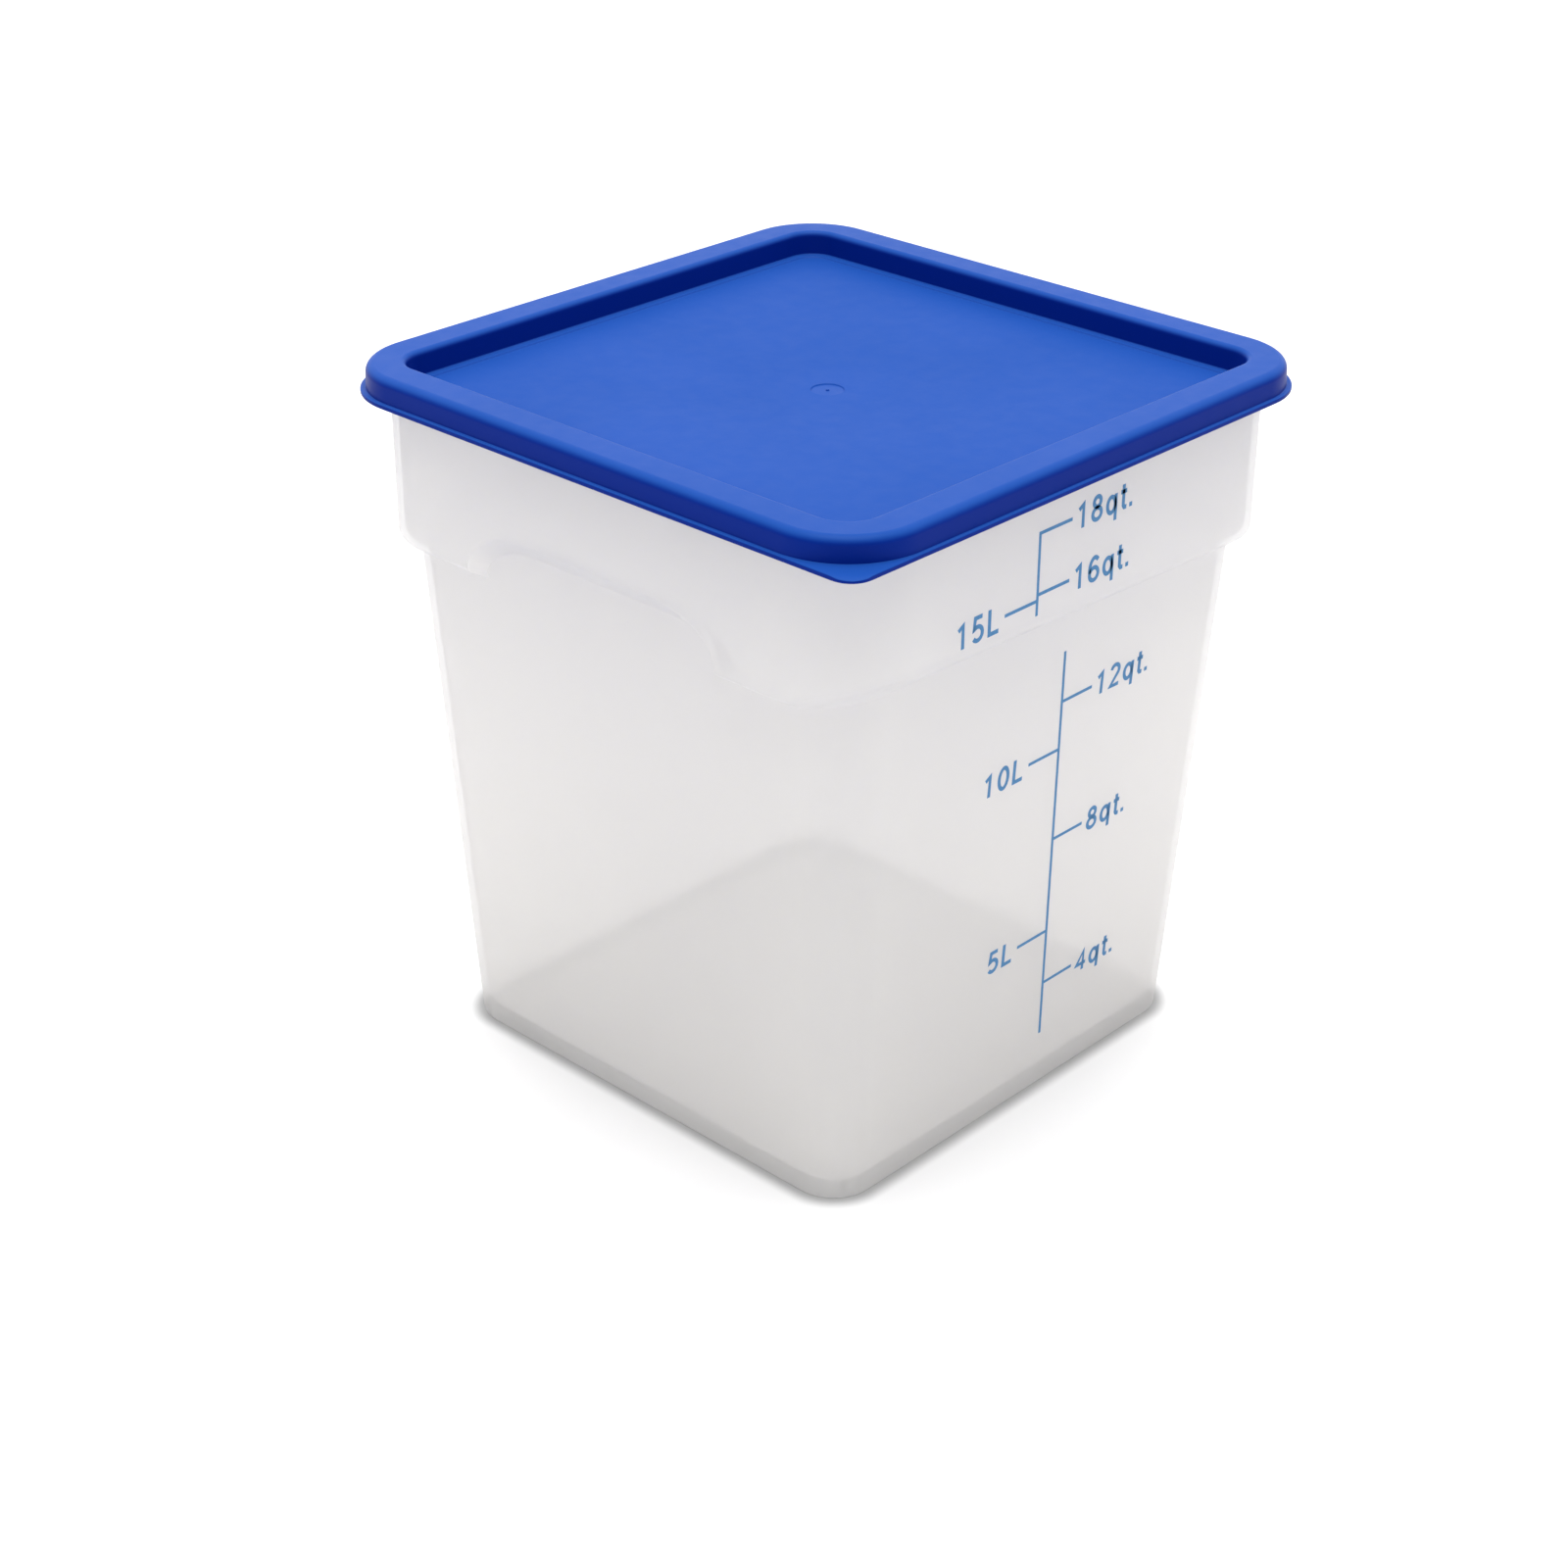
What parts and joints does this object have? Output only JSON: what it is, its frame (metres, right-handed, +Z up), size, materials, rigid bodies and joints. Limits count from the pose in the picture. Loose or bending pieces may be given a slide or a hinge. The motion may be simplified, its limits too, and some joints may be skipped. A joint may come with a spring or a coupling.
{
  "type": "food storage container with lid",
  "caption": "Square tapered translucent food storage container with a wide collar, hand grips under it, a printed volume scale and a recessed snap lid with a pull tab.",
  "frame": {"origin": "middle of the underside, on the surface that the container stands on", "axes": "+Z up; -Y is the face with the printed volume scale; -X and +X are the faces with the hand grips; the lid's pull tab is at the (-X, -Y) corner"},
  "size_m": [0.298, 0.298, 0.318],
  "materials": {
    "container_plastic": "natural translucent polypropylene, satin, slightly hazy",
    "lid_plastic": "royal blue low-density polyethylene, satin border and finely grained panel",
    "scale_ink": "screen-printed steel blue ink"
  },
  "bodies": {
    "container_body": {"container": "container_plastic", "scale_line_upper": "scale_ink", "scale_line_lower": "scale_ink"},
    "lid_body": {"lid": "lid_plastic"}
  },
  "joints": [
    {"name": "lid_lift", "type": "slide", "parent": "container_body", "child": "lid_body", "axis": [0, 0, 1], "range_m": [0, 0.35]}
  ]
}
